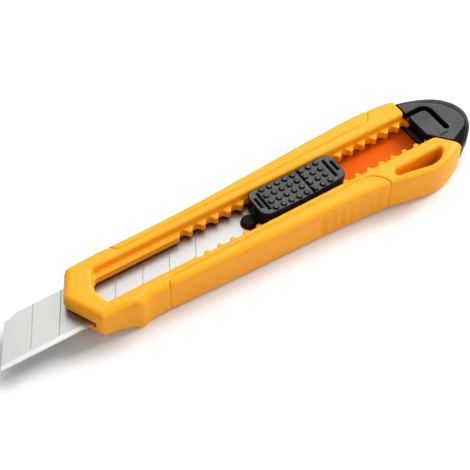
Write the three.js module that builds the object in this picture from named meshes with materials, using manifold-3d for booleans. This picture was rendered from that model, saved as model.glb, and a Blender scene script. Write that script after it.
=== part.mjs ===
// Snap-off blade utility knife: moulded housing with an open window, slider, blade and end cap.
// Millimetres, +Z up. While it is built, X runs from the blade tip (0) to the tail, Y = 0 is the
// middle of the window, and Z = 0 is the upper face of the blade. At the end everything is moved
// so that the origin is the bottom centre of the bounding box.
import * as THREE from 'three';
import { mergeVertices } from 'three/addons/utils/BufferGeometryUtils.js';
import Module from 'manifold-3d';

const wasm = await Module();
wasm.setup();

// ---- driving dimensions -------------------------------------------------------------------
const GAP = 0.25;              // clearance between neighbouring pieces
const TOP = 7.0;               // face of the housing around the window
const BOTTOM = -7.6;           // back of the housing
const ROUND = 2.2;             // edge rounding along the handle
const TAIL_BEVEL = 5.0;        // wide edge bevel round the tail
const TAIL_DROP = 4.2;         // and how far down it reaches
const NOSE_X = 28.3;           // front point of the nose
const CAP_X = 171.2;           // where the end cap starts
const CAP_BEND_Y = -5.3;       // the seam turns towards the tail here
const CAP_SLOPE = 1.18;        // and runs on at this slope
const SHELF_X = 173.3;         // the lips run on this far, under the cap's top
const SHELF_Y = 8.6;

const BLADE_EDGE_Y = -8.0;     // cutting edge
const BLADE_SPINE_Y = 10.0;    // spine, so the blade is 18 wide
const BLADE_T = 0.5;
const BLADE_L = 100;           // length along the cutting edge
const BLADE_LEAN = 0.576;      // the ends and score lines lean 60 degrees
const SNAP_PITCH = 10.4;
const SNAP_LINES = 7;
const BEVEL_W = 1.9;           // ground bevel along the cutting edge

const CHANNEL_LOW = -0.8;      // blade channel
const CHANNEL_HIGH = 0.9;
const LIP_TOP = 3.9;           // the lips that carry the ratchet
const LIP_Y = 5.1;             // distance of the lips from the middle
const LIP_LOW_Y = 4.6;         // and of the toothed lip on the cutting side
const RIM_LOW_Y = 6.95;        // window half width just above the lips
const RIM_HIGH_Y = 7.45;       // and at the top face
const WINDOW_X = 38.4;         // front point of the window

const TOOTH_PITCH = 5.21;
const TOOTH_START = 76.05;     // first notch
const TOOTH_COUNT = 19;
const TOOTH_R = 1.8;
const RATCHET_X = TOOTH_START - 2.4;

const PAD_X0 = 101.0;
const PAD_X1 = 136.4;
const PAD_Y = 6.35;
const PAD_CORNER = 3.6;
const PAD_LOW = 5.0;
const PAD_TOP = 7.25;          // in the middle, the ends rise like a saddle
const PAD_RISE = 0.95;
const BUMP_PITCH_X = 3.2;
const BUMP_PITCH_Y = 3.03;
const BUMP_X0 = 107.1;
const BUMP_HEIGHT = 0.6;
const BUMP_R = 1.05;
const BOSS = { x: 98.95, y: -0.05, r: 2.8 };
const BOSS_HOLE_R = 3.1;       // hole in the blade round the boss
const GROOVE_HALF = 0.85;      // latch groove in the cap
const GROOVE_DEPTH = 2.5;
const GROOVE_END_Y = -6.0;
const GROOVE_BEND_R = 2.8;
const FLUTE_R = 1.65;
const PANEL_LINE_DEPTH = 0.35;

// ---- small helpers ------------------------------------------------------------------------
function toManifold(geometry) {
  const bare = geometry.clone();
  bare.deleteAttribute('normal');
  bare.deleteAttribute('uv');
  const welded = mergeVertices(bare, 1e-5);
  return new wasm.Manifold(new wasm.Mesh({
    numProp: 3,
    vertProperties: new Float32Array(welded.attributes.position.array),
    triVerts: new Uint32Array(welded.index.array),
  }));
}

function outlineShape(points) {
  return new THREE.Shape(points.map((p) => new THREE.Vector2(...p)));
}

function prism(points, z0, z1) {
  const shape = points instanceof THREE.Shape ? points : outlineShape(points);
  const g = new THREE.ExtrudeGeometry(shape, { depth: z1 - z0, bevelEnabled: false, curveSegments: 8 });
  g.translate(0, 0, z0);
  return toManifold(g);
}

// a profile drawn in X and Z, extruded along Y
function prismXZ(points, y0, y1) {
  const shape = outlineShape(points);
  const g = new THREE.ExtrudeGeometry(shape, { depth: y1 - y0, bevelEnabled: false });
  g.rotateX(Math.PI / 2);
  g.translate(0, y1, 0);
  return toManifold(g);
}

// a profile drawn in Y and Z, extruded along X
function prismYZ(points, x0, x1) {
  const shape = outlineShape(points);
  const g = new THREE.ExtrudeGeometry(shape, { depth: x1 - x0, bevelEnabled: false });
  g.applyMatrix4(new THREE.Matrix4().makeBasis(
    new THREE.Vector3(0, 1, 0),
    new THREE.Vector3(0, 0, 1),
    new THREE.Vector3(1, 0, 0),
  ));
  g.translate(x0, 0, 0);
  return toManifold(g);
}

function box(x0, x1, y0, y1, z0, z1) {
  const g = new THREE.BoxGeometry(x1 - x0, y1 - y0, z1 - z0);
  g.translate((x0 + x1) / 2, (y0 + y1) / 2, (z0 + z1) / 2);
  return toManifold(g);
}

function cylinder(x, y, z0, z1, r, segments = 24, rTop = r) {
  const g = new THREE.CylinderGeometry(rTop, r, z1 - z0, segments);
  g.rotateX(Math.PI / 2);
  g.translate(x, y, (z0 + z1) / 2);
  return toManifold(g);
}

const smooth = (a, b, x) => THREE.MathUtils.smoothstep(x, a, b);

// ---- outer form of the handle ---------------------------------------------------------------
// Plan of the widest line, anticlockwise from the upper nose corner round the tail.
function handlePlan() {
  const side = new THREE.CatmullRomCurve3([
    [36.0, -12.0], [41, -12.1], [45.5, -12.6], [48.8, -13.5], [52.2, -12.8], [58, -12.6],
    [70, -13.1], [90, -13.9], [108, -14.5], [126, -15.2], [147, -17.0], [156, -18.9],
    [164, -20.1], [171.5, -19.3], [177, -17.2], [182, -14.2], [187.5, -10.4], [190.9, -6.6],
    [192.8, -1.6], [192.0, 3.6], [188.2, 8.8], [181.7, 12.6], [172, 15.4], [163, 16.6],
    [154, 17.0], [142, 16.5], [126, 15.7], [107, 14.6], [88, 13.5], [60, 12.9],
    [45, 13.1], [36.0, 13.0],
  ].map(([x, y]) => new THREE.Vector3(x, y, 0)), false, 'centripetal');
  const plan = side.getSpacedPoints(120).map((p) => [p.x, p.y]);
  const nose = [
    [34.5, 12.6], [33.6, 11.6], [29.5, 4.7], [28.5, 2.9], [NOSE_X, 1.8],
    [28.7, 0.4], [34.1, -10.6], [34.9, -11.7],
  ];
  return plan.concat(nose);
}

// Edge profile at a station along the handle: [inset, drop] pairs from the widest line to the face.
function edgeProfile(x) {
  const tail = smooth(168, 176, x);
  const r = ROUND + 0.6 * (1 - smooth(38, 50, x));
  const bevel = [[0, 1], [0.1, 0.7], [0.34, 0.42], [0.65, 0.2], [1, 0]];
  return bevel.map(([inset, drop], k) => {
    const angle = (k * Math.PI) / 8;
    const round = [r * (1 - Math.cos(angle)), r * (1 - Math.sin(angle))];
    return [
      THREE.MathUtils.lerp(round[0], inset * TAIL_BEVEL, tail),
      THREE.MathUtils.lerp(round[1], drop * TAIL_DROP, tail),
    ];
  });
}

// Stacked rings: each one is the plan moved inwards along its corner normals.
function handleForm() {
  const plan = handlePlan();
  const n = plan.length;
  const inward = plan.map((p, i) => {
    const a = plan[(i + n - 1) % n];
    const c = plan[(i + 1) % n];
    const e0 = new THREE.Vector2(p[0] - a[0], p[1] - a[1]).normalize();
    const e1 = new THREE.Vector2(c[0] - p[0], c[1] - p[1]).normalize();
    const mid = e0.clone().add(e1).normalize();
    const normal = new THREE.Vector2(-mid.y, mid.x);
    return normal.multiplyScalar(1 / Math.max(0.5, mid.dot(e1)));
  });
  const rings = [];
  const profiles = plan.map((p) => edgeProfile(p[0]));
  const addRing = (k, top) => {
    rings.push(plan.map((p, i) => {
      const [inset, drop] = profiles[i][k];
      const z = top ? TOP - drop : BOTTOM + drop;
      return [p[0] + inward[i].x * inset, p[1] + inward[i].y * inset, z];
    }));
  };
  const last = profiles[0].length - 1;
  for (let k = last; k >= 0; k -= 1) addRing(k, false);
  for (let k = 0; k <= last; k += 1) addRing(k, true);

  const position = rings.flat(2);
  const index = [];
  for (let k = 0; k + 1 < rings.length; k += 1) {
    for (let i = 0; i < n; i += 1) {
      const j = (i + 1) % n;
      const a = k * n + i;
      const b = k * n + j;
      index.push(a, b, b + n, a, b + n, a + n);
    }
  }
  // flat faces: a fan from the middle, which sees the whole outline
  const upper = (rings.length - 1) * n;
  const low = position.length / 3;
  position.push(110, 0, BOTTOM, 110, 0, TOP);
  for (let i = 0; i < n; i += 1) {
    const j = (i + 1) % n;
    index.push(low, j, i);
    index.push(low + 1, upper + i, upper + j);
  }
  const g = new THREE.BufferGeometry();
  g.setAttribute('position', new THREE.Float32BufferAttribute(position, 3));
  g.setIndex(index);
  return toManifold(g);
}

// The back rises towards the nose like the bow of a boat.
function bowCut() {
  return prismXZ([
    [20, -20], [50, -20], [50, BOTTOM - 0.01], [49, BOTTOM + 0.05], [44, -5.7],
    [40, -4.3], [34, -2.9], [27, -2.0], [20, -1.6],
  ], -30, 30);
}

// Everything behind the cap seam, moved back by a gap.
function behindSeam(gap) {
  const x = CAP_X + gap;
  return prism([
    [x, CAP_BEND_Y + gap * 0.4],
    [x + 24, CAP_BEND_Y + gap * 0.4 - 24 * CAP_SLOPE],
    [x + 40, CAP_BEND_Y - 30],
    [x + 40, 40],
    [x, 40],
  ], -20, 20);
}

// ---- housing --------------------------------------------------------------------------------
function windowCut() {
  const front = WINDOW_X;
  const opening = (halfWidth, grow) => [
    [front - grow, -0.3], [front + 1.9 - grow, -halfWidth + 0.6], [front + 3.0 - grow, -halfWidth],
    [SHELF_X + 3, -halfWidth], [SHELF_X + 3, halfWidth],
    [front + 4.0 - grow, halfWidth], [front + 3.1 - grow, halfWidth - 0.6],
  ];
  const lower = prism(opening(RIM_LOW_Y, 0), LIP_TOP, TOP + 1);
  const flare = prismYZ([
    [-RIM_LOW_Y, LIP_TOP], [RIM_LOW_Y, LIP_TOP], [RIM_HIGH_Y, TOP], [RIM_HIGH_Y, TOP + 1],
    [-RIM_HIGH_Y, TOP + 1], [-RIM_HIGH_Y, TOP],
  ], front + 3.4, SHELF_X + 3);
  const slot = prism(opening(LIP_Y, 0), CHANNEL_HIGH - 0.1, LIP_TOP + 0.1)
    .subtract(box(RATCHET_X, SHELF_X + 4, -LIP_Y - 1, -LIP_LOW_Y, -1, LIP_TOP + 1));
  return lower.add(flare).add(slot);
}

function ratchetCut() {
  let cut = null;
  for (let i = 0; i < TOOTH_COUNT; i += 1) {
    const x = TOOTH_START + i * TOOTH_PITCH;
    for (const y of [0.1 - LIP_LOW_Y, LIP_Y - 0.1]) {
      const notch = cylinder(x, y, CHANNEL_HIGH - 0.1, LIP_TOP + 0.1, TOOTH_R, 14);
      cut = cut ? cut.add(notch) : notch;
    }
  }
  return cut;
}

function hangSlot() {
  const s = new THREE.Shape();
  s.moveTo(152.6, -12.4);
  s.lineTo(170.9, -12.4);
  s.quadraticCurveTo(172.6, -12.7, 172.0, -14.0);
  s.quadraticCurveTo(169.3, -17.3, 164.5, -17.2);
  s.quadraticCurveTo(160.5, -16.3, 153.6, -15.0);
  s.quadraticCurveTo(151.2, -14.2, 151.3, -13.2);
  s.quadraticCurveTo(151.5, -12.4, 152.6, -12.4);
  return prism(s, BOTTOM - 1, TOP + 1);
}

// Shallow line round each grip panel, on the face and down the side wall.
function panelLines() {
  const low = TOP - PANEL_LINE_DEPTH;
  const cornerLow = low - 1.2;
  const wallLow = BOTTOM + 1;
  const high = TOP + 1;
  const rearCorner = [
    [141, -10.05], [146.3, -14.0], [147.4, -18.5], [148.1, -18.5], [147.0, -13.7], [141, -9.45],
  ];
  const frontCorner = [
    [62, -10.05], [60.3, -11.6], [60.3, -13.5], [59.6, -13.5], [59.6, -11.3], [61.8, -9.45],
  ];
  const spineLine = [
    [53.5, 9.2], [110, 9.8], [157, 10.9], [162.4, 18], [161.6, 18], [156.4, 11.5], [110, 10.4],
    [53.5, 9.8], [49.6, 14], [48.9, 14],
  ];
  return box(62, 141, -10.05, -9.45, low, high)
    .add(prism(rearCorner, cornerLow, high))
    .add(prism(frontCorner, cornerLow, high))
    .add(box(59.6, 60.3, -13.6, -12.35, wallLow, low))
    .add(box(147.0, 147.7, -18.6, -16.75, wallLow, low))
    .add(prism(spineLine, low, high));
}

// Soft finger ribs: shallow flutes cut in the lower side wall.
function gripFlutes() {
  let cut = null;
  for (let i = 0; i < 7; i += 1) {
    const x = 120.5 + i * 3.75;
    const y = -15.15 - 0.082 * (x - 126) - 1.05;
    const flute = cylinder(x, y, -5.2, 3.6, FLUTE_R, 14);
    cut = cut ? cut.add(flute) : flute;
  }
  return cut;
}

function capPlug(gap) {
  return box(164 - gap, CAP_X + 3, -6.5 - gap, 8.5 + gap, -5.4 - gap, -2.6 + gap);
}

// The lips run on under the cap's top by this block, which the cap leaves free by a gap.
function lipShelf(gap) {
  return box(CAP_X - 0.1, SHELF_X + gap, -SHELF_Y - gap, SHELF_Y + gap, CHANNEL_LOW, LIP_TOP + gap);
}

function buildHousing(form) {
  let body = form.subtract(behindSeam(0)).add(lipShelf(0));
  const channelLow = BLADE_EDGE_Y - GAP - 0.05;
  const channelHigh = BLADE_SPINE_Y + GAP + 0.05;
  body = body.subtract(box(10, SHELF_X + 1, channelLow, channelHigh, CHANNEL_LOW - 0.01, CHANNEL_HIGH));
  body = body.subtract(windowCut());
  body = body.subtract(ratchetCut());
  body = body.subtract(hangSlot());
  body = body.subtract(panelLines());
  body = body.subtract(gripFlutes());
  return body.subtract(capPlug(GAP));
}

// ---- end cap --------------------------------------------------------------------------------
function buildCap(form) {
  const cap = form.intersect(behindSeam(GAP)).subtract(lipShelf(GAP)).add(capPlug(0));
  const [bendX, bendY] = [177.2, 3.2];
  const inner = GROOVE_BEND_R - GROOVE_HALF;
  const outer = GROOVE_BEND_R + GROOVE_HALF;
  const groove = new THREE.Shape();
  groove.moveTo(CAP_X - 1, bendY + inner);
  groove.lineTo(bendX, bendY + inner);
  groove.absarc(bendX, bendY, inner, Math.PI / 2, 0, true);
  groove.lineTo(bendX + inner, GROOVE_END_Y);
  groove.lineTo(bendX + outer, GROOVE_END_Y);
  groove.lineTo(bendX + outer, bendY);
  groove.absarc(bendX, bendY, outer, 0, Math.PI / 2, false);
  groove.lineTo(CAP_X - 1, bendY + outer);
  return cap.subtract(prism(groove, TOP - GROOVE_DEPTH, TOP + 1));
}

// ---- blade ----------------------------------------------------------------------------------
const leanX = (y) => BLADE_LEAN * (y - BLADE_EDGE_Y);

function buildBlade() {
  const plan = [
    [0, BLADE_EDGE_Y], [BLADE_L, BLADE_EDGE_Y], [BLADE_L + leanX(BLADE_SPINE_Y), BLADE_SPINE_Y],
    [14.9, BLADE_SPINE_Y], [13.1, 9.35], [11.2, 8.7], [leanX(8.9), 8.9],
  ];
  const section = [
    [BLADE_EDGE_Y, -BLADE_T / 2], [BLADE_EDGE_Y + BEVEL_W, -BLADE_T], [BLADE_SPINE_Y, -BLADE_T],
    [BLADE_SPINE_Y, 0], [BLADE_EDGE_Y + BEVEL_W, 0],
  ];
  let blade = prism(plan, -2, 2).intersect(prismYZ(section, -5, 120));
  for (let k = 1; k <= SNAP_LINES; k += 1) {
    const y0 = BLADE_EDGE_Y + BEVEL_W;
    const y1 = BLADE_SPINE_Y + 1;
    const x0 = SNAP_PITCH * k + leanX(y0);
    const x1 = SNAP_PITCH * k + leanX(y1);
    const score = prism([[x0 - 0.14, y0], [x0 + 0.14, y0], [x1 + 0.14, y1], [x1 - 0.14, y1]], -0.12, 1);
    blade = blade.subtract(score);
  }
  return blade.subtract(cylinder(BOSS.x, BOSS.y, -2, 2, BOSS_HOLE_R, 28));
}

// ---- slider ---------------------------------------------------------------------------------
const LEAF_X = TOOTH_START + 9 * TOOTH_PITCH;

function buildCarrier() {
  const x1 = PAD_X1 - 0.4;
  let body = box(101.8, x1, GAP - LIP_LOW_Y, LIP_Y - GAP, 0.3, LIP_TOP + 0.4);
  body = body.add(box(104.5, 133.2, -5.7, 5.7, LIP_TOP + 0.3, PAD_LOW - GAP));
  body = body.add(box(112, 126, -2.5, 2.5, 4, 6.1));
  body = body.add(box(112.5, x1, BLADE_EDGE_Y + 0.1, BLADE_SPINE_Y - 0.1, -0.45, 0.1)
    .add(box(112.5, x1, -4.5, 4.5, 0, 0.4)));
  const boss = cylinder(BOSS.x, BOSS.y, -0.4, 1.1, BOSS.r, 28)
    .add(cylinder(BOSS.x, BOSS.y, 1.1, 1.7, BOSS.r, 28, BOSS.r - 0.8));
  body = body.add(boss).add(box(BOSS.x, 102.6, BOSS.y - 1.5, BOSS.y + 1.5, 0.3, 1.4));
  for (const side of [-1, 1]) {
    const shift = side > 0 ? 0 : LIP_Y - LIP_LOW_Y;
    const at = (a) => [a - shift, 6].map((y) => side * y).sort((p, q) => p - q);
    body = body.subtract(box(116.4, 130.2, ...at(3.0), 0.8, 3.6));
    body = body.subtract(box(130.1, 132.4, ...at(1.9), 0.8, 3.6));
  }
  return body;
}

// A thin leaf with a round nose that sits in a ratchet notch.
function buildLeaf(side) {
  const outline = [
    [117, 3.9], [130.5, 3.9], [130.5, 2.2], [132.1, 2.2], [132.1, 4.5],
    [LEAF_X + 1.75, 4.5], [LEAF_X + 0.95, 5.9], [LEAF_X + 0.4, 6.45], [LEAF_X - 0.4, 6.45],
    [LEAF_X - 0.95, 5.9], [LEAF_X - 1.75, 4.5], [117, 4.5],
  ].map(([x, y]) => [x, side > 0 ? y : LIP_Y - LIP_LOW_Y - y]);
  return prism(side > 0 ? outline : outline.reverse(), 1.05, 3.35);
}

function padPlan() {
  const points = [];
  const corner = (cx, cy, start) => {
    for (let k = 0; k <= 4; k += 1) {
      const a = start + (k / 4) * (Math.PI / 2);
      points.push([cx + PAD_CORNER * Math.cos(a), cy + PAD_CORNER * Math.sin(a)]);
    }
  };
  const y = PAD_Y - PAD_CORNER;
  corner(PAD_X1 - PAD_CORNER, y, 0);
  corner(PAD_X0 + PAD_CORNER, y, Math.PI / 2);
  corner(PAD_X0 + PAD_CORNER, -y, Math.PI);
  corner(PAD_X1 - PAD_CORNER, -y, Math.PI * 1.5);
  return points;
}

// Height of the pad's saddle-shaped top.
function padTop(x) {
  const u = (x - (PAD_X0 + PAD_X1) / 2) / ((PAD_X1 - PAD_X0) / 2);
  return PAD_TOP + PAD_RISE * u * u;
}

function buildPad() {
  const high = PAD_TOP + PAD_RISE + 1;
  const saddle = [[PAD_X0 - 1, PAD_LOW], [PAD_X1 + 1, PAD_LOW]];
  for (let k = 12; k >= 0; k -= 1) {
    const x = PAD_X0 - 1 + (k / 12) * (PAD_X1 - PAD_X0 + 2);
    saddle.push([x, padTop(x)]);
  }
  let pad = prism(padPlan(), PAD_LOW, high).intersect(prismXZ(saddle, -8, 8));
  for (const [x, half] of [[122.25, 8], [102.6, 2.4], [104.6, 4.0], [132.3, 4.0], [134.4, 2.4]]) {
    pad = pad.subtract(box(x - 0.3, x + 0.3, -half, half, padTop(x) - 0.5, high));
  }
  for (let i = 0; i < 8; i += 1) {
    for (let j = 0; j < 4; j += 1) {
      const x = BUMP_X0 + i * BUMP_PITCH_X + (i > 4 ? 0.3 : 0);
      const z = padTop(x);
      pad = pad.add(cylinder(x, (j - 1.5) * BUMP_PITCH_Y, z - 0.2, z + BUMP_HEIGHT, BUMP_R, 10, BUMP_R - 0.3));
    }
  }
  return pad.subtract(box(112 - GAP, 126 + GAP, -2.5 - GAP, 2.5 + GAP, PAD_LOW - 1, 6.1 + GAP));
}

// ---- assembly -------------------------------------------------------------------------------
function toGeometry(manifold) {
  const m = manifold.getMesh();
  const g = new THREE.BufferGeometry();
  g.setAttribute('position', new THREE.BufferAttribute(new Float32Array(m.vertProperties), 3));
  g.setIndex(new THREE.BufferAttribute(new Uint32Array(m.triVerts), 1));
  return g;
}

const form = handleForm().subtract(bowCut());
const pieces = [
  ['housing', buildHousing(form), 0xf79a10, 0.45],
  ['end_cap', buildCap(form), 0x17181a, 0.3],
  ['blade', buildBlade(), 0xc9ccd0, 0.3],
  ['blade_carrier', buildCarrier(), 0x1b1c1e, 0.5],
  ['thumb_pad', buildPad(), 0x2a2b2d, 0.6],
  ['detent_leaf_spine', buildLeaf(1), 0x1b1c1e, 0.5],
  ['detent_leaf_edge', buildLeaf(-1), 0x1b1c1e, 0.5],
];

const group = new THREE.Group();
group.name = 'snap_off_knife';
const bounds = new THREE.Box3();
const meshes = pieces.map(([name, manifold, color, roughness]) => {
  const geometry = toGeometry(manifold);
  geometry.computeBoundingBox();
  bounds.union(geometry.boundingBox);
  const metalness = name === 'blade' ? 1 : 0;
  const material = new THREE.MeshStandardMaterial({ color, roughness, metalness });
  const mesh = new THREE.Mesh(geometry, material);
  mesh.name = name;
  group.add(mesh);
  return mesh;
});
const middle = bounds.getCenter(new THREE.Vector3());
for (const mesh of meshes) {
  mesh.geometry.translate(-middle.x, -middle.y, -bounds.min.z);
  mesh.geometry.computeVertexNormals();
}

export default group;
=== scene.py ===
import math

import bpy
import numpy as np
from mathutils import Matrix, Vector


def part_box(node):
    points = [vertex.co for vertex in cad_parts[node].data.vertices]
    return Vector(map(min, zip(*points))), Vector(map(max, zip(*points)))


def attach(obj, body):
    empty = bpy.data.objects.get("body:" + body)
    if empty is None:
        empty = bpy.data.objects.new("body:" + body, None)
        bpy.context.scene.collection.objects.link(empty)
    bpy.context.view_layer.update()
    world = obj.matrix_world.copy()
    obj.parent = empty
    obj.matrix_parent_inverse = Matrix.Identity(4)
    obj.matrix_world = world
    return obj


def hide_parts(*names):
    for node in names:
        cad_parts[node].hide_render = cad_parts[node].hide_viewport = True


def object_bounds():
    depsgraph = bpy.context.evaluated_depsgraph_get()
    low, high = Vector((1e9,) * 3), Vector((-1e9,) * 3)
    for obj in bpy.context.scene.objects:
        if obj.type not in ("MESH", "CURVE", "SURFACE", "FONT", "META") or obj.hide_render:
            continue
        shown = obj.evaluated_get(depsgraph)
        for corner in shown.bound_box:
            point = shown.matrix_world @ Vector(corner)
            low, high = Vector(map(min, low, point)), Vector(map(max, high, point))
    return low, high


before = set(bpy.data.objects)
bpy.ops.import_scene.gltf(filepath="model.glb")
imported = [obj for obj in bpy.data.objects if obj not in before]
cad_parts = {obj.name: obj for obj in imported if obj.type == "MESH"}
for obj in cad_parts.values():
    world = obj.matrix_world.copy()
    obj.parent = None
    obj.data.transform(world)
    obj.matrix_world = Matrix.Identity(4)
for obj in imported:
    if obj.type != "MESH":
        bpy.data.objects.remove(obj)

CAD_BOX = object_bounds()
MM = 0.001

# ---- driving dimensions (mm) ----------------------------------------------------------------
TOP, BOTTOM = 7.0, -7.6        # faces of the handle
EDGE_ROUND, NOSE_ROUND, TAIL_ROUND = 2.2, 2.8, 3.0
BOW_ROUND = 0.9                # the lower edge is crisper under the nose
CAP_BEVEL_DROP, CAP_BACK_DROP = 3.4, 5.5      # height of the wide bevels round the cap
SEAM_X, SEAM_BEND_Y, SEAM_SLOPE = 171.2, -5.3, 1.18
SHELF_X, SHELF_Y = 173.3, 8.6  # the lips run on this far, under the cap's top
SEAM_GAP = 0.25

BLADE_EDGE_Y, BLADE_SPINE_Y = -8.0, 10.0
BLADE_THICK = 0.5
BLADE_LENGTH = 100.0
BLADE_LEAN = 0.576             # the ends and score lines lean 60 degrees
SNAP_PITCH, SNAP_LINES = 10.4, 7
BLADE_BEVEL = 1.9
BLADE_RIM = 0.07               # the small bevel along the spine and at both ends
HONE_WIDTH, HONE_DEPTH = 0.3, 0.14             # the steeper last strip along the cutting edge
SCORE_HALF, SCORE_DEPTH = 0.15, 0.13

CHANNEL_LOW, CHANNEL_HIGH = -0.8, 0.9
LIP_TOP, LIP_Y, LIP_LOW_Y = 3.9, 5.1, 4.6      # the toothed lip on the cutting side stands further in
RIM_LOW_Y, RIM_HIGH_Y = 6.95, 7.45
WINDOW_X = 38.4
TOOTH_PITCH, TOOTH_START, TOOTH_LAST, TOOTH_R = 5.21, 76.05, 18, 1.8
PANEL_LINE_R, PANEL_LINE_DEPTH, PANEL_LINE_LOW = 0.3, 0.42, -6.6
FLUTE_START, FLUTE_PITCH, FLUTE_LAST, FLUTE_R = 120.5, 3.75, 6, 1.65
FLUTE_LOW, FLUTE_HIGH = -4.0, 2.4
PLUG_LOW, PLUG_HIGH, PLUG_GAP = (164, -6.5, -5.4), (175, 8.5, -2.6), 0.3

PAD_X0, PAD_X1, PAD_Y, PAD_CORNER = 101.0, 136.4, 6.35, 3.6
PAD_LOW, PAD_TOP, PAD_RISE = 5.0, 7.25, 0.95   # the top is a saddle that rises at both ends
BUMP_X0, BUMP_PITCH_X, BUMP_PITCH_Y = 107.1, 3.2, 3.03
BUMP_R, BUMP_HEIGHT = 1.05, 0.65
DIVIDER_X = 122.25             # a groove across the pad
GRIP_LINES = ((102.6, 2.2), (104.6, 4.0), (132.3, 4.0), (134.4, 2.2))   # X and half length
BOSS_X, BOSS_Y, BOSS_R, BOSS_HOLE_R = 98.95, -0.05, 2.8, 3.1

LENS_MM, SENSOR_MM = 96.16, 36.0
CAMERA_SEAT = (-52.930, -225.654, 337.583)
CAMERA_VIEW = (0.33703, 0.52015, -0.78477)

# Where that millimetre frame lies in the CAD frame: the blade's box holds its tip, edge and top face.
BLADE_LO, BLADE_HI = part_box("blade")
ORIGIN = np.array([BLADE_LO.x, BLADE_LO.y - BLADE_EDGE_Y * MM, BLADE_HI.z])


# ---- distance fields ------------------------------------------------------------------------
def smooth_max(a, b, k):
    """The larger of two distances, with the crease between them rounded over about k."""
    h = np.maximum(k - np.abs(a - b), 0.0)
    return np.maximum(a, b) + h * h / (4.0 * k)


def smooth_min(a, b, k):
    return -smooth_max(-a, -b, k)


def cut(body, tool, k):
    """The body without the tool, with the new edges rounded over about k."""
    return smooth_max(body, -tool, k)


def smoothstep(a, b, x):
    t = np.clip((x - a) / (b - a), 0.0, 1.0)
    return t * t * (3.0 - 2.0 * t)


def box_field(x, y, z, low, high, r):
    """A box between two corners with edges rounded by r."""
    q = [np.abs(v - (a + b) / 2) - (b - a) / 2 + r for v, a, b in zip((x, y, z), low, high)]
    outside = np.sqrt(sum(np.maximum(v, 0.0) ** 2 for v in q))
    inside = np.minimum(np.maximum(np.maximum(q[0], q[1]), q[2]), 0.0)
    return outside + inside - r


def rounded_edge(side, face, r):
    """Two walls at right angles, given as distances, with their outer edge rounded by r."""
    a = side + r
    b = face + r
    return np.minimum(np.maximum(a, b), 0.0) + np.hypot(np.maximum(a, 0.0), np.maximum(b, 0.0)) - r


def squared_distance(x, y, start, end):
    """Square of the distance in plan to a straight stretch."""
    ex, ey = end[0] - start[0], end[1] - start[1]
    along = np.clip(((x - start[0]) * ex + (y - start[1]) * ey) / (ex * ex + ey * ey), 0.0, 1.0)
    return (x - start[0] - along * ex) ** 2 + (y - start[1] - along * ey) ** 2


def path_distance(x, y, points):
    """Distance in plan to an open path."""
    best = np.inf
    for start, end in zip(points, points[1:]):
        best = np.minimum(best, squared_distance(x, y, start, end))
    return np.sqrt(best)


def outline_distance(x, y, points):
    """Distance in plan to a closed outline, negative inside it."""
    x, y = np.broadcast_arrays(x, y)
    best = np.full(x.shape, np.inf)
    inside = np.zeros(x.shape, bool)
    for (ax, ay), (bx, by) in zip(points, points[1:] + points[:1]):
        best = np.minimum(best, squared_distance(x, y, (ax, ay), (bx, by)))
        if ay != by:
            inside ^= ((ay > y) != (by > y)) & (x < ax + (y - ay) * (bx - ax) / (by - ay))
    return np.where(inside, -1.0, 1.0) * np.sqrt(best)


def flowing_curve(points, steps=7):
    """Centripetal Catmull-Rom curve through the points."""
    p = [np.array(v, float) for v in points]
    p = [2 * p[0] - p[1]] + p + [2 * p[-1] - p[-2]]
    out = []
    for a, b, c, d in zip(p, p[1:], p[2:], p[3:]):
        ta, tb, tc = [math.sqrt(np.linalg.norm(v - u)) for u, v in ((a, b), (b, c), (c, d))]
        leaving = ((b - a) / ta - (c - a) / (ta + tb) + (c - b) / tb) * tb
        arriving = ((c - b) / tb - (d - b) / (tb + tc) + (d - c) / tc) * tb
        for s in np.arange(steps) / steps:
            near_b = 2 * s ** 3 - 3 * s ** 2 + 1
            turn = (s ** 3 - 2 * s ** 2 + s) * leaving + (s ** 3 - s ** 2) * arriving
            out.append(tuple(near_b * b + (1 - near_b) * c + turn))
    out.append(tuple(p[-2]))
    return out


def arc(cx, cy, r, start, end, steps=8):
    """Points on an arc, angles in degrees."""
    angles = np.radians(np.linspace(start, end, steps + 1))
    return [(cx + r * math.cos(t), cy + r * math.sin(t)) for t in angles]


# ---- the handle's outer form ----------------------------------------------------------------
SIDE_POINTS = [
    (36.0, -12.0), (41, -12.1), (45.5, -12.6), (48.8, -13.5), (52.2, -12.8), (58, -12.6),
    (70, -13.1), (90, -13.9), (108, -14.5), (126, -15.2), (147, -17.0), (156, -18.9),
    (164, -20.1), (171.5, -19.3), (177, -17.2), (182, -14.2), (187.5, -10.4), (190.9, -6.6),
    (192.8, -1.6), (192.0, 3.6), (188.2, 8.8), (181.7, 12.6), (172, 15.4), (163, 16.6),
    (154, 17.0), (142, 16.5), (126, 15.7), (107, 14.6), (88, 13.5), (60, 12.9),
    (45, 13.1), (36.0, 13.0),
]
NOSE_POINTS = [
    (34.5, 12.6), (33.6, 11.6), (29.5, 4.7), (28.5, 2.9), (28.3, 1.8), (28.7, 0.4), (34.1, -10.6),
    (34.9, -11.7),
]
OUTLINE = flowing_curve(SIDE_POINTS) + NOSE_POINTS

BOW_X = [27, 34, 40, 44, 47, 49.5, 52]           # the back rises towards the nose like a bow
BOW_Z = [-2.0, -2.9, -4.3, -5.7, -6.9, -7.5, BOTTOM]


def handle_form(x, y, z):
    plan = outline_distance(x, y, OUTLINE)
    r = EDGE_ROUND + (NOSE_ROUND - EDGE_ROUND) * (1 - smoothstep(38, 50, x))
    r = r + (TAIL_ROUND - EDGE_ROUND) * smoothstep(168, 178, x)
    back = np.interp(x, BOW_X, BOW_Z)
    top = rounded_edge(plan, z - TOP, r)
    low = rounded_edge(plan, back - z, r + (BOW_ROUND - r) * (1 - smoothstep(46, 56, x)))
    return smooth_max(top, low, 0.4)


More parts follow.
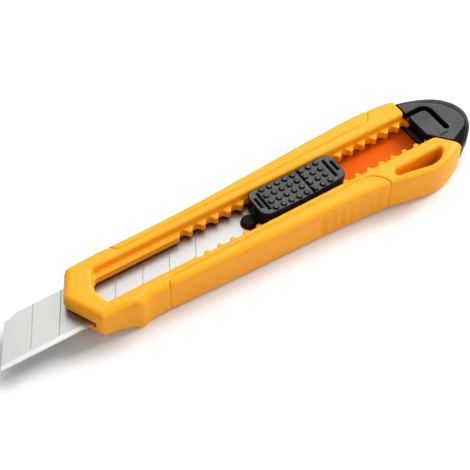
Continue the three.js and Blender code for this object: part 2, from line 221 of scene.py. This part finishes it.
def lip_shelf(x, y, z, gap):
    """The lips run on under the cap's top inside this block."""
    reach = SHELF_Y + gap
    return box_field(x, y, z, (165, -reach, CHANNEL_LOW), (SHELF_X + gap, reach, LIP_TOP + gap), 0.05)


def behind_seam(x, y, gap=0.0):
    """Negative behind the seam between housing and cap."""
    straight = SEAM_X + gap - x
    slope = (y - SEAM_BEND_Y - gap + SEAM_SLOPE * (x - SEAM_X)) / math.hypot(1, SEAM_SLOPE)
    return smooth_max(straight, -slope, 0.6)


# ---- housing --------------------------------------------------------------------------------
HANG_SLOT = (
    [(152.6, -12.4), (170.6, -12.4)] + arc(170.9, -13.5, 1.1, 80, -20, 5)
    + [(170.6, -15.4), (168.6, -16.6), (166.6, -17.1), (164.5, -17.2), (160.5, -16.4), (153.6, -15.0)]
    + arc(152.8, -13.7, 1.3, -110, -260, 6)
)
LOWER_PANEL = [(60, -18), (60, -12.2), (60.4, -11.0), (61.2, -10.1), (62.4, -9.75), (141, -9.75),
               (143.4, -10.6), (145.6, -12.4), (146.9, -14.6), (147.5, -21)]
UPPER_PANEL = [(48.6, 16), (51.4, 11.6), (52.3, 10.3), (53.8, 9.6), (110, 10.1), (155.4, 11.15),
               (157.4, 11.7), (158.9, 13.2), (162.6, 19)]


def window_plan(x, y, half, front):
    """The window outline: straight sides and a blunt point towards the nose."""
    low = -0.954 * (x - front) - 0.300 * (y + 0.3)
    high = -0.906 * (x - front) + 0.4225 * (y + 0.3)
    return smooth_max(smooth_max(low, high, 0.8), np.abs(y) - half, 1.4)


def lip_line(x, y):
    """Distance of the lips from the middle."""
    step = (LIP_Y - LIP_LOW_Y) * smoothstep(72.8, 74.2, x) + 0.2 * smoothstep(76, 171, x)
    return np.where(y > 0, LIP_Y, LIP_Y - step)


def ratchet_notches(x, y):
    """A row of round notches in both lips."""
    i = np.clip(np.round((x - TOOTH_START) / TOOTH_PITCH), 0, TOOTH_LAST)
    return np.hypot(x - TOOTH_START - i * TOOTH_PITCH, np.abs(y) - lip_line(x, y) + 0.1) - TOOTH_R


def panel_lines(x, y, z, form):
    """The fine grooves round both grip panels, cut in from the handle's own surface."""
    line = np.minimum(path_distance(x, y, LOWER_PANEL), path_distance(x, y, UPPER_PANEL)) - PANEL_LINE_R
    return np.maximum(np.maximum(line, -(form + PANEL_LINE_DEPTH)), PANEL_LINE_LOW - z)


def grip_flutes(x, y, z):
    """Shallow upright flutes in the lower side wall, with round ends."""
    cx = FLUTE_START + FLUTE_PITCH * np.clip(np.round((x - FLUTE_START) / FLUTE_PITCH), 0, FLUTE_LAST)
    cy = -16.1 - 0.082 * (cx - 126)          # they follow the wall, which slopes outwards to the tail
    over = z - np.clip(z, FLUTE_LOW, FLUTE_HIGH)
    return np.sqrt((x - cx) ** 2 + (y - cy) ** 2 + over ** 2) - FLUTE_R


def blade_channel(y, z):
    """The flat channel that the blade lies in, a little wider than the blade."""
    middle, half = (CHANNEL_LOW + CHANNEL_HIGH) / 2, (CHANNEL_HIGH - CHANNEL_LOW) / 2
    return np.maximum(np.abs(y - 1.0) - 9.3, np.abs(z - middle) - half)


def window_above_lips(x, y, z):
    """The upper part of the window, whose walls slope outwards to the top face."""
    rise = (z - LIP_TOP) / (TOP - LIP_TOP)
    half = RIM_LOW_Y + (RIM_HIGH_Y - RIM_LOW_Y) * rise
    return smooth_max(window_plan(x, y, half, WINDOW_X - 0.5 * rise), LIP_TOP - z, 0.5)


def window_between_lips(x, y, z):
    """The lower part of the window, down into the blade channel, with the ratchet notches."""
    lips = smooth_min(window_plan(x, y, lip_line(x, y), WINDOW_X), ratchet_notches(x, y), 0.5)
    return np.maximum(lips, CHANNEL_HIGH - 0.2 - z)


def plug_block(x, y, z, gap, r):
    """The cap's plug, or with a gap its socket in the housing."""
    low = [v - gap for v in PLUG_LOW]
    high = [PLUG_HIGH[0]] + [v + gap for v in PLUG_HIGH[1:]]
    return box_field(x, y, z, low, high, r)


def housing_field(x, y, z):
    form = handle_form(x, y, z)
    body = cut(form, np.maximum(behind_seam(x, y), -lip_shelf(x, y, z, 0.0)), 0.4)
    body = cut(body, blade_channel(y, z), 0.35 + 1.6 * (1 - smoothstep(33, 40, x)))
    body = cut(body, window_above_lips(x, y, z), 1.3)
    body = cut(body, window_between_lips(x, y, z), 0.4)
    body = cut(body, outline_distance(x, y, HANG_SLOT), 1.7)
    body = cut(body, panel_lines(x, y, z, form), 0.45)
    body = cut(body, grip_flutes(x, y, z), 0.55)
    return cut(body, plug_block(x, y, z, PLUG_GAP, 0.1), 0.2)


# ---- end cap --------------------------------------------------------------------------------
GROOVE_HALF, GROOVE_DEPTH = 0.85, 2.5
LATCH_GROOVE = [(165, 6.0), (177.2, 6.0)] + arc(177.2, 3.2, 2.8, 80, 0, 6) + [(180.0, -6.0)]
LATCH_HINGE = [(173.6, -8.3), (179.2, -8.2)]     # a fine line where the latch tongue bends
CAP_FLAT = flowing_curve([
    (177.0, -12.3), (179.5, -11.5), (186.3, -8.4), (187.8, -6.2), (187.9, -3.2), (186.7, 0.0),
    (184.7, 3.6), (182.0, 6.1), (178.6, 8.8), (175.0, 10.7), (172.7, 11.5),
]) + [(150, 14), (150, -16)]


def cap_field(x, y, z):
    plan = outline_distance(x, y, OUTLINE)
    flat = np.maximum(outline_distance(x, y, CAP_FLAT), 0)
    outward = np.clip(flat / np.maximum(flat - plan, 0.1), 0, 1)
    top = (z - TOP + CAP_BEVEL_DROP * outward ** 1.4) * 0.82
    low = (BOTTOM + CAP_BACK_DROP * outward ** 2 - z) * 0.7
    body = smooth_max(smooth_max(plan, top, 0.9), low, 1.5)
    body = smooth_max(body, behind_seam(x, y, SEAM_GAP), 0.5)
    body = cut(body, lip_shelf(x, y, z, SEAM_GAP), 0.2)
    groove = smooth_max(path_distance(x, y, LATCH_GROOVE) - GROOVE_HALF, TOP - GROOVE_DEPTH - z, 0.4)
    body = cut(body, groove, 0.5)
    hinge = np.hypot(path_distance(x, y, LATCH_HINGE), z - TOP) - 0.2
    body = cut(body, hinge, 0.2)
    return smooth_min(body, plug_block(x, y, z, 0.0, 0.4), 0.2)


# ---- slider ---------------------------------------------------------------------------------
def carrier_field(x, y, z):
    x1 = PAD_X1 - 0.4
    body = box_field(x, y, z, (101.8, SEAM_GAP - LIP_LOW_Y, 0.3), (x1, LIP_Y - SEAM_GAP, 4.3), 0.3)
    flange = box_field(x, y, z, (104.5, -5.7, 4.2), (133.2, 5.7, 4.75), 0.25)
    post = box_field(x, y, z, (112, -2.5, 4.0), (126, 2.5, 6.1), 0.3)
    foot = box_field(x, y, z, (112.5, BLADE_EDGE_Y + 0.1, -0.45), (x1, BLADE_SPINE_Y - 0.1, 0.1), 0.15)
    riser = box_field(x, y, z, (112.5, -4.5, -0.2), (x1, 4.5, 0.5), 0.1)
    boss = rounded_edge(np.hypot(x - BOSS_X, y - BOSS_Y) - BOSS_R, np.abs(z - 0.65) - 1.05, 0.9)
    neck = box_field(x, y, z, (BOSS_X, BOSS_Y - 1.5, 0.3), (102.8, BOSS_Y + 1.5, 1.4), 0.3)
    for part, k in ((flange, 0.2), (post, 0.3), (foot, 0.1), (riser, 0.1), (neck, 0.3), (boss, 0.4)):
        body = smooth_min(body, part, k)
    side = np.where(y > 0, y, LIP_Y - LIP_LOW_Y - y)
    pocket = box_field(x, side, z, (116.4, 3.0, 0.8), (130.2, 7, 3.6), 0.1)
    anchor = box_field(x, side, z, (130.1, 1.9, 0.8), (132.4, 7, 3.6), 0.1)
    return cut(cut(body, pocket, 0.2), anchor, 0.2)


# node, side of the leaf, and the Y range that it is sampled in
LEAVES = (("detent_leaf_spine", 1, 1.93, 6.83), ("detent_leaf_edge", -1, -6.33, -1.43))


def leaf_field(side):
    """A thin leaf with a round nose that sits in a ratchet notch."""
    nose_x = TOOTH_START + 9 * TOOTH_PITCH

    def field(x, y, z):
        v = y if side > 0 else LIP_Y - LIP_LOW_Y - y
        leaf = box_field(x, v, z, (117, 3.9, 1.05), (132.1, 4.5, 3.35), 0.12)
        root = box_field(x, v, z, (130.5, 2.2, 1.05), (132.1, 4.5, 3.35), 0.12)
        nose = np.maximum(np.hypot(x - nose_x, v - 4.7) - 1.7, np.maximum(3.95 - v, np.abs(z - 2.2) - 1.15))
        return smooth_min(smooth_min(leaf, root, 0.2), nose, 0.4)

    return field


def pad_crown(x):
    """Height of the pad's saddle."""
    middle = (PAD_X0 + PAD_X1) / 2
    half = (PAD_X1 - PAD_X0) / 2
    return PAD_TOP + PAD_RISE * ((x - middle) / half) ** 2


def pad_plan(x, y):
    """Distance in plan to the pad's outline, a rectangle with round corners."""
    qx = np.abs(x - (PAD_X0 + PAD_X1) / 2) - (PAD_X1 - PAD_X0) / 2 + PAD_CORNER
    qy = np.abs(y) - PAD_Y + PAD_CORNER
    return np.minimum(np.maximum(qx, qy), 0) + np.hypot(np.maximum(qx, 0), np.maximum(qy, 0)) - PAD_CORNER


def pad_bumps(x, y, above):
    """Eight columns of four bumps; the last three columns stand a little apart."""
    column = np.clip(np.round((x - BUMP_X0) / BUMP_PITCH_X), 0, 7)
    cx = BUMP_X0 + column * BUMP_PITCH_X + 0.3 * (column > 4)
    cy = (np.clip(np.round(y / BUMP_PITCH_Y + 1.5), 0, 3) - 1.5) * BUMP_PITCH_Y
    return rounded_edge(np.hypot(x - cx, y - cy) - BUMP_R, above - BUMP_HEIGHT, 0.45)


def pad_trench(x, y, above, at, reach):
    """A groove across the pad's top."""
    away = path_distance(x, y, [(at, -reach), (at, reach)])
    return np.hypot(away, np.minimum(above + 0.4, 0)) - 0.3


def pad_field(x, y, z):
    plan = pad_plan(x, y)
    above = z - pad_crown(x)
    body = smooth_max(rounded_edge(plan, above, 0.7), PAD_LOW - z, 0.2)
    body = smooth_min(body, pad_bumps(x, y, above), 0.12)
    body = cut(body, pad_trench(x, y, above, DIVIDER_X, 8.0), 0.15)
    for at, reach in GRIP_LINES:
        beside = path_distance(x, y, [(at + 0.8, -reach), (at + 0.8, reach)])
        body = smooth_min(body, np.hypot(beside, above) - 0.33, 0.15)
        body = cut(body, pad_trench(x, y, above, at, reach), 0.15)
    body = cut(body, np.maximum(np.abs(x - DIVIDER_X) - 0.22, -0.3 - plan), 0.15)
    return cut(body, box_field(x, y, z, (111.75, -2.75, 4), (126.25, 2.75, 6.35), 0.1), 0.1)


# ---- from field to mesh ---------------------------------------------------------------------
def span(low, high, step):
    return np.arange(low, high + step, step)


def settle(points, field):
    """Move points onto the surface along the field's slope."""
    h = 0.02
    x, y, z = points.T
    here = field(x, y, z)
    slope = np.stack([field(x + h, y, z) - here, field(x, y + h, z) - here, field(x, y, z + h) - here]) / h
    steep = np.maximum((slope ** 2).sum(0), 0.25)
    return points - (np.clip(here, -0.12, 0.12) / steep * slope).T


CORNERS = [(i, j, k) for i in (0, 1) for j in (0, 1) for k in (0, 1)]


def cell_points(d, cell, grid):
    """A point in each cell: the mean of the places where the field is zero on the cell's edges."""
    value = {c: d[cell[:, 0] + c[0], cell[:, 1] + c[1], cell[:, 2] + c[2]] for c in CORNERS}
    total = np.zeros((len(cell), 3))
    hits = np.zeros(len(cell))
    for a in CORNERS:
        for axis in range(3):
            if a[axis]:
                continue
            b = tuple(v + (n == axis) for n, v in enumerate(a))
            crosses = (value[a] < 0) != (value[b] < 0)
            t = np.where(crosses, value[a] / np.where(crosses, value[a] - value[b], 1), 0)
            point = np.array(a, float) + t[:, None] * (np.array(b) - np.array(a))
            total += point * crosses[:, None]
            hits += crosses
    local = total / hits[:, None]
    return np.stack([g[cell[:, n]] + local[:, n] * (g[cell[:, n] + 1] - g[cell[:, n]])
                     for n, g in enumerate(grid)], axis=1)


def crossing_quads(inside, number, axis):
    """A quad round each grid edge along an axis that goes through the surface."""
    u, v = [(1, 2), (2, 0), (0, 1)][axis]
    size = inside.shape
    here = np.take(inside, range(size[axis] - 1), axis)
    there = np.take(inside, range(1, size[axis]), axis)
    edge = np.argwhere(here != there)
    room_u = (edge[:, u] > 0) & (edge[:, u] < size[u] - 1)
    room_v = (edge[:, v] > 0) & (edge[:, v] < size[v] - 1)
    edge = edge[room_u & room_v]
    ring = []
    for du, dv in ((-1, -1), (0, -1), (0, 0), (-1, 0)):
        c = edge.copy()
        c[:, u] += du
        c[:, v] += dv
        ring.append(number[c[:, 0], c[:, 1], c[:, 2]])
    quad = np.stack(ring, axis=1)
    outward = here[edge[:, 0], edge[:, 1], edge[:, 2]]
    return np.where(outward[:, None], quad, quad[:, ::-1])


def surface_net(field, xs, ys, zs):
    """Vertices and quads of the zero surface of a field sampled on a grid."""
    d = field(xs[:, None, None], ys[None, :, None], zs[None, None, :]).astype(np.float32)
    inside = d < 0
    nx, ny, nz = d.shape
    filled = sum(inside[i:nx - 1 + i, j:ny - 1 + j, k:nz - 1 + k].astype(np.uint8) for i, j, k in CORNERS)
    active = (filled > 0) & (filled < 8)
    cell = np.argwhere(active)
    number = np.full(active.shape, -1, np.int64)
    number[active] = np.arange(len(cell))
    quads = [crossing_quads(inside, number, axis) for axis in range(3)]
    return cell_points(d, cell, (xs, ys, zs)), np.concatenate(quads)


def add_object(name, points, faces, material, body, node, smooth=True):
    """Put a mesh drawn in millimetres into the CAD frame and tie it to its body."""
    mesh = bpy.data.meshes.new(name)
    mesh.from_pydata((np.asarray(points) * MM + ORIGIN).tolist(), [], [list(map(int, f)) for f in faces])
    mesh.update()
    mesh.polygons.foreach_set("use_smooth", [smooth] * len(mesh.polygons))
    mesh.materials.append(material)
    piece = bpy.data.objects.new(name, mesh)
    bpy.context.scene.collection.objects.link(piece)
    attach(piece, body)
    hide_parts(node)
    return piece


def add_moulded(name, field, grid, material, body, node):
    points, quads = surface_net(field, *grid)
    return add_object(name, settle(points, field), quads, material, body, node)


# ---- blade ----------------------------------------------------------------------------------
def blade_spine(u):
    """Height of the spine: the foremost corner is clipped."""
    return float(np.interp(u, [0.0, 1.6, 3.1, 4.5], [8.9, 8.7, 9.35, BLADE_SPINE_Y]))


def blade_stations(around):
    """Places along the cutting edge: the clipped corner, the score lines, the hole and the rear end."""
    stations = [0.0, BLADE_RIM, 1.6, 3.1, 4.5]
    for k in range(1, SNAP_LINES + 1):
        stations += [SNAP_PITCH * k - SCORE_HALF, SNAP_PITCH * k, SNAP_PITCH * k + SCORE_HALF]
    return stations + around + [BLADE_LENGTH - BLADE_RIM, BLADE_LENGTH]


class Blade:
    """Ground blade: a sheared grid of stations and rows, with scored lines and a round hole."""

    def __init__(self):
        self.points, self.faces, self.index = [], [], {}
        reach, count = 4.6, 13         # the round hole is cut in a square with this half side
        hole_u = BOSS_X - BLADE_LEAN * (BOSS_Y - BLADE_EDGE_Y)
        around = list(np.linspace(hole_u - reach, hole_u + reach, count))
        middle = list(np.linspace(BOSS_Y - reach, BOSS_Y + reach, count))
        self.stations = blade_stations(around)
        self.rows = [BLADE_EDGE_Y + BLADE_BEVEL] + middle + [8.2]
        self.ladder = list(range(len(self.rows))) + ["rim", "spine"]
        self.hole_i = self.stations.index(around[0]), self.stations.index(around[-1])
        self.hole_j = 1, len(middle)

    def add_point(self, key, u, y, z):
        self.index[key] = len(self.points)
        self.points.append((u + BLADE_LEAN * (y - BLADE_EDGE_Y), y, z))

    def add_face(self, keys, turned=False):
        face = [self.index[key] for key in keys]
        self.faces.append(face[::-1] if turned else face)

    def add_station(self, i, u):
        """The points of one station, on the upper (0) and the lower side (1)."""
        end = BLADE_RIM if i in (0, len(self.stations) - 1) else 0.0
        scored = any(abs(u - SNAP_PITCH * k) < 0.001 for k in range(1, SNAP_LINES + 1))
        spine = blade_spine(u)
        self.add_point((i, "edge"), u, BLADE_EDGE_Y, -BLADE_THICK / 2)
        for side, face, inward in ((0, 0.0, -1), (1, -BLADE_THICK, 1)):
            z = face + inward * ((SCORE_DEPTH if scored and side == 0 else 0.0) + end)
            self.add_point((i, side, "hone"), u, BLADE_EDGE_Y + HONE_WIDTH, face + inward * HONE_DEPTH)
            for j, y in enumerate(self.rows):
                self.add_point((i, side, j), u, y, z if j else face + inward * end)
            self.add_point((i, side, "rim"), u, spine - BLADE_RIM, z)
            sunk = max(z, BLADE_RIM - BLADE_THICK) if side else min(z, -BLADE_RIM)
            self.add_point((i, side, "spine"), u, spine, sunk)

    def over_hole(self, i, a, b):
        (i0, i1), (j0, j1) = self.hole_i, self.hole_j
        return i0 <= i < i1 and a in range(j0, j1) and b in range(j0 + 1, j1 + 1)

    def add_strip(self, i):
        """The faces from one station to the next: both sides and the spine."""
        steps = ["hone"] + self.ladder
        for side in (0, 1):
            self.add_face([(i, "edge"), (i + 1, "edge"), (i + 1, side, "hone"), (i, side, "hone")], side)
            for a, b in zip(steps, steps[1:]):
                if not self.over_hole(i, a, b):
                    self.add_face([(i, side, a), (i + 1, side, a), (i + 1, side, b), (i, side, b)], side)
        self.add_face([(i, 0, "spine"), (i + 1, 0, "spine"), (i + 1, 1, "spine"), (i, 1, "spine")])

    def add_end(self, i, turned):
        for a, b in zip(self.ladder, self.ladder[1:]):
            self.add_face([(i, 0, a), (i, 0, b), (i, 1, b), (i, 1, a)], turned)
        self.add_face([(i, "edge"), (i, 0, "hone"), (i, 1, "hone")], turned)
        self.add_face([(i, 0, "hone"), (i, 0, 0), (i, 1, 0), (i, 1, "hone")], turned)

    def hole_point(self, outer, z):
        """The point of the round edge that lies towards a point of the square gap."""
        x, y, _ = self.points[outer]
        a = math.atan2(y - BOSS_Y, x - BOSS_X)
        self.points.append((BOSS_X + BOSS_HOLE_R * math.cos(a), BOSS_Y + BOSS_HOLE_R * math.sin(a), z))
        return len(self.points) - 1

    def add_hole(self):
        """The square gap in both faces is joined to a round edge of as many points."""
        (i0, i1), (j0, j1) = self.hole_i, self.hole_j
        loop = [(i, j0) for i in range(i0, i1)] + [(i1, j) for j in range(j0, j1)]
        loop += [(i, j1) for i in range(i1, i0, -1)] + [(i0, j) for j in range(j1, j0, -1)]
        rings = []
        for side, z in ((0, 0.0), (1, -BLADE_THICK)):
            outer = [self.index[(i, side, j)] for i, j in loop]
            inner = [self.hole_point(p, z) for p in outer]
            for n, m in zip(range(len(loop)), [*range(1, len(loop)), 0]):
                face = [outer[n], outer[m], inner[m], inner[n]]
                self.faces.append(face[::-1] if side else face)
            rings.append(inner)
        for n, m in zip(range(len(loop)), [*range(1, len(loop)), 0]):
            self.faces.append([rings[0][n], rings[0][m], rings[1][m], rings[1][n]])


def blade_mesh():
    blade = Blade()
    for i, u in enumerate(blade.stations):
        blade.add_station(i, u)
    last = len(blade.stations) - 1
    for i in range(last):
        blade.add_strip(i)
    blade.add_end(0, turned=False)
    blade.add_end(last, turned=True)
    blade.add_hole()
    return blade.points, blade.faces


# ---- materials ------------------------------------------------------------------------------
# Linear colours; a pair is two close tones that alternate in soft patches or fine lines.
YELLOW = (0.92, 0.356, 0.009), (0.94, 0.374, 0.011)
CHANNEL_SHADE_ORANGE = (0.64, 0.092, 0.002), (0.68, 0.105, 0.002)       # painted shade inside the blade channel
YELLOW_WORN = (1.0, 0.52, 0.06)
BLACK_WORN = (0.09, 0.09, 0.092)
STEEL = (0.355, 0.354, 0.346), (0.40, 0.398, 0.39)
STEEL_OILED = (0.32, 0.32, 0.315)
STEEL_BEVEL = (0.52, 0.518, 0.51)
FLOOR = (0.82, 0.82, 0.82), (0.84, 0.84, 0.84)


class Finish:
    """A node material round one Principled shader."""

    def __init__(self, name, **fixed):
        self.material = bpy.data.materials.new(name)
        self.material.use_nodes = True
        self.tree = self.material.node_tree
        self.shader = self.tree.nodes["Principled BSDF"]
        for socket, value in fixed.items():
            self.shader.inputs[socket.replace("_", " ")].default_value = value
        self.place = self.add("ShaderNodeTexCoord").outputs["Object"]

    def add(self, kind, inputs=None, **settings):
        node = self.tree.nodes.new(kind)
        for key, value in settings.items():
            setattr(node, key, value)
        for key, value in (inputs or {}).items():
            if isinstance(value, bpy.types.NodeSocket):
                self.tree.links.new(value, node.inputs[key])
            else:
                node.inputs[key].default_value = value
        return node

    def stretched(self, x, y, z):
        """Coordinates scaled per axis, for marks that run one way."""
        return self.add("ShaderNodeMapping", {"Vector": self.place, "Scale": (x, y, z)}).outputs["Vector"]

    def noise(self, scale, detail=3.0, rough=0.5, where=None):
        inputs = {"Vector": where or self.place, "Scale": scale, "Detail": detail, "Roughness": rough}
        return self.add("ShaderNodeTexNoise", inputs).outputs["Fac"]

    def ramp(self, value, low, high, to_low=0.0, to_high=1.0):
        inputs = {"Value": value, "From Min": low, "From Max": high, "To Min": to_low, "To Max": to_high}
        return self.add("ShaderNodeMapRange", inputs).outputs["Result"]

    def math(self, operation, a, b):
        return self.add("ShaderNodeMath", {0: a, 1: b}, operation=operation).outputs[0]

    def blend(self, factor, a, b):
        mix = self.add("ShaderNodeMix", data_type="RGBA")
        for socket, value in zip((mix.inputs[0], mix.inputs[6], mix.inputs[7]), (factor, a, b)):
            if isinstance(value, bpy.types.NodeSocket):
                self.tree.links.new(value, socket)
            else:
                socket.default_value = value if isinstance(value, float) else (*value, 1.0)
        return mix.outputs[2]

    def edges(self, low, high):
        """1 on outer edges, 0 on flat faces."""
        return self.ramp(self.add("ShaderNodeNewGeometry").outputs["Pointiness"], low, high)

    def facing_up(self):
        """1 on faces that look straight up, in the piece's own axes."""
        normal = self.add("ShaderNodeTexCoord").outputs["Normal"]
        return self.add("ShaderNodeSeparateXYZ", {0: normal}).outputs["Z"]

    def channel_shade_mask(self):
        """1 on the walls of the blade channel, deep in the moulding, where shade is painted in."""
        place = self.add("ShaderNodeSeparateXYZ", {0: self.place})
        middle, top = float(ORIGIN[1] + MM), float(ORIGIN[2])
        below = self.ramp(place.outputs["Z"], top + 1.3 * MM, top + 0.7 * MM)
        above = self.ramp(place.outputs["Z"], top - 1.4 * MM, top - 1.1 * MM)
        off_middle = self.math("ABSOLUTE", self.math("SUBTRACT", place.outputs["Y"], middle), 0.0)
        within = self.ramp(off_middle, 9.9 * MM, 9.4 * MM)
        return self.math("MULTIPLY", self.math("MULTIPLY", below, above), within)

    def bump(self, height, strength, distance, under=None):
        inputs = {"Height": height, "Strength": strength, "Distance": distance}
        if under:
            inputs["Normal"] = under
        return self.add("ShaderNodeBump", inputs).outputs["Normal"]

    def finish(self, colour=None, roughness=None, normal=None):
        for socket, value in (("Base Color", colour), ("Roughness", roughness), ("Normal", normal)):
            if value:
                self.tree.links.new(value, self.shader.inputs[socket])
        return self.material


def yellow_plastic():
    f = Finish("housing_yellow_plastic", IOR=1.45)
    patches = f.ramp(f.noise(55.0, 4.0), 0.35, 0.65)
    colour = f.blend(patches, *YELLOW)
    channel_shade = f.blend(patches, *CHANNEL_SHADE_ORANGE)
    # painted shade: the channel walls take a deeper orange and less specular, standing in for the shade
    # deep inside the channel
    channel = f.channel_shade_mask()
    colour = f.blend(channel, colour, channel_shade)
    f.tree.links.new(f.ramp(channel, 0.0, 1.0, 0.22, 0.04), f.shader.inputs["Specular IOR Level"])
    scuffs = f.ramp(f.noise(1.0, 3.0, 0.6, f.stretched(90, 1400, 1400)), 0.62, 0.76)
    wear = f.math("MULTIPLY", f.edges(0.505, 0.56), f.ramp(f.noise(420.0, 4.0), 0.35, 0.7))
    colour = f.blend(f.math("MULTIPLY", wear, 0.3), colour, YELLOW_WORN)
    rough = f.ramp(f.noise(260.0, 3.0), 0.3, 0.7, 0.33, 0.41)
    rough = f.math("ADD", rough, f.math("MULTIPLY", scuffs, 0.07))
    rough = f.math("SUBTRACT", rough, f.math("MULTIPLY", wear, 0.06))
    grain = f.bump(f.noise(5200.0, 2.0), 0.08, 0.00003)
    ripple = f.bump(f.noise(130.0, 2.0), 0.12, 0.0001, grain)
    return f.finish(colour, rough, ripple)


def black_plastic(name, polished, top_with_painted_sheen, gloss):
    """Black moulding: faces that look straight up can have a fine texture, the rest is smoother; those
    up-facing faces are also painted a lighter grey, a painted sheen.
    """
    f = Finish(name, IOR=1.45, Specular_IOR_Level=gloss)
    flat = f.ramp(f.facing_up(), 0.93, 0.975)
    patches = f.ramp(f.noise(120.0, 4.0), 0.35, 0.65, 0.85, 1.15)
    # painted sheen: faces that look straight up get the lighter grey, standing in for the overhead light
    # they reflect; their roughness and bump are real texture
    colour = f.blend(flat, (polished,) * 3, (top_with_painted_sheen, top_with_painted_sheen, top_with_painted_sheen * 1.02))
    colour = f.blend(f.math("MULTIPLY", f.math("SUBTRACT", 1.15, patches), 0.8), colour, (0.0, 0.0, 0.0))
    wear = f.math("MULTIPLY", f.edges(0.51, 0.57), f.ramp(f.noise(500.0, 4.0), 0.35, 0.7))
    colour = f.blend(f.math("MULTIPLY", wear, 0.25), colour, BLACK_WORN)
    rough = f.math("ADD", f.ramp(f.noise(320.0, 3.0), 0.3, 0.7, 0.28, 0.36), f.math("MULTIPLY", flat, 0.18))
    fine = f.bump(f.noise(4200.0, 3.0), f.ramp(flat, 0.0, 1.0, 0.03, 0.14), 0.00005)
    return f.finish(colour, rough, fine)


def blade_steel():
    f = Finish("blade_ground_steel", Metallic=1.0)
    y = f.add("ShaderNodeSeparateXYZ", {0: f.place}).outputs["Y"]
    bevel_line = float(BLADE_LO.y + BLADE_BEVEL * MM)
    ground = f.ramp(y, bevel_line + 0.06 * MM, bevel_line - 0.06 * MM)
    lines = f.noise(1.0, 4.0, 0.65, f.stretched(70, 6500, 6500))
    cross = f.noise(1.0, 3.0, 0.6, f.stretched(7000, 500, 900))
    oil = f.ramp(f.noise(38.0, 3.0), 0.35, 0.7)
    colour = f.blend(f.ramp(lines, 0.3, 0.7), *STEEL)
    colour = f.blend(f.math("MULTIPLY", oil, 0.12), colour, STEEL_OILED)
    colour = f.blend(ground, colour, STEEL_BEVEL)
    rough = f.ramp(lines, 0.3, 0.7, 0.36, 0.44)
    brushed = f.bump(lines, 0.06, 0.00002)
    milled = f.bump(f.math("MULTIPLY", cross, ground), 0.12, 0.00002, brushed)
    return f.finish(colour, rough, milled)


# ---- pieces ---------------------------------------------------------------------------------
def sample_grid(low, high, steps):
    """The planes that a field is sampled on, a little outside the piece on every side."""
    return [span(a, b, step) for a, b, step in zip(low, high, steps)]


def build_handle_and_cap():
    step = 0.36
    grid = sample_grid((27.87, -20.66, -8.03), (183.3, 17.5, 7.5), (step, step * 0.92, step * 0.85))
    plastic = yellow_plastic()
    add_moulded("housing_shell", housing_field, grid, plastic, "handle", "housing")
    grid = sample_grid((163.4, -19.9, -8.03), (193.6, 16.1, 7.5), (0.3, 0.3, 0.28))
    black = black_plastic("cap_black_plastic", 0.007, 0.090, 0.035)
    add_moulded("end_cap_shell", cap_field, grid, black, "cap", "end_cap")


def build_slider():
    black = black_plastic("slider_black_plastic", 0.012, 0.012, 0.15)
    grid = sample_grid((95.63, -8.33, -0.83), (136.6, 10.4, 6.6), (0.22, 0.22, 0.18))
    add_moulded("carrier_moulding", carrier_field, grid, black, "slider", "blade_carrier")
    grid = sample_grid((100.63, -6.77, 4.71), (136.8, 6.8, 8.7), (0.17, 0.17, 0.14))
    pad_black = black_plastic("pad_black_plastic", 0.009, 0.104, 0.08)
    add_moulded("thumb_pad_moulding", pad_field, grid, pad_black, "slider", "thumb_pad")
    for name, side, low_y, high_y in LEAVES:
        grid = sample_grid((116.7, low_y, 0.77), (132.4, high_y, 3.6), (0.2, 0.15, 0.2))
        add_moulded(name + "_moulding", leaf_field(side), grid, black, "slider", name)
    points, faces = blade_mesh()
    add_object("blade_ground", points, faces, blade_steel(), "slider", "blade", smooth=False)


# ---- studio ---------------------------------------------------------------------------------
def add_floor():
    """A wide pale floor under the knife."""
    lo, hi = CAD_BOX
    x, y = (lo.x + hi.x) / 2, (lo.y + hi.y) / 2
    reach, z = 3.0, lo.z - 0.00002
    mesh = bpy.data.meshes.new("floor")
    mesh.from_pydata([(x - reach, y - reach, z), (x + reach, y - reach, z),
                      (x + reach, y + reach, z), (x - reach, y + reach, z)], [], [(0, 1, 2, 3)])
    f = Finish("studio_floor", Roughness=0.9, Specular_IOR_Level=0.1)
    mesh.materials.append(f.finish(f.blend(f.ramp(f.noise(6.0, 3.0), 0.3, 0.7), *FLOOR)))
    floor = bpy.data.objects.new("floor", mesh)
    bpy.context.scene.collection.objects.link(floor)


def add_light(name, direction, distance, size, radiance):
    """A square soft light that faces the knife, with its brightness given as radiance."""
    data = bpy.data.lights.new(name, "AREA")
    data.shape = "SQUARE"
    data.size = size
    data.energy = radiance * math.pi * size * size
    light = bpy.data.objects.new(name, data)
    bpy.context.scene.collection.objects.link(light)
    lo, hi = CAD_BOX
    centre = (Vector(lo) + Vector(hi)) / 2
    way = Vector(direction).normalized()
    light.location = centre + way * distance
    light.rotation_euler = way.to_track_quat("Z", "Y").to_euler()


def add_lights():
    add_light("mirror_softbox", (0.337, 0.520, 0.785), 1.8, 1.24, 2.7)
    add_light("key_from_tail", (0.76, 0.05, 0.64), 2.2, 1.0, 16.5)
    add_light("front_fill", (0.25, -0.70, 0.66), 1.8, 1.0, 1.4)
    world = bpy.data.worlds.new("studio")
    world.use_nodes = True
    background = world.node_tree.nodes["Background"]
    background.inputs["Color"].default_value = (1, 1, 1, 1)
    background.inputs["Strength"].default_value = 0.42
    bpy.context.scene.world = world
    bpy.context.scene.view_settings.view_transform = "Standard"


def add_camera():
    """Long lens from the nose side, above the handle."""
    camera = bpy.data.cameras.new("camera")
    camera.sensor_width = SENSOR_MM
    camera.lens = LENS_MM
    camera.clip_start = 0.01
    seat = bpy.data.objects.new("camera", camera)
    bpy.context.scene.collection.objects.link(seat)
    seat.location = Vector(np.array(CAMERA_SEAT) * MM + ORIGIN)
    seat.rotation_euler = Vector(CAMERA_VIEW).to_track_quat("-Z", "Y").to_euler()
    bpy.context.scene.camera = seat


add_camera()
add_floor()
add_lights()
build_handle_and_cap()
build_slider()

bpy.context.view_layer.update()
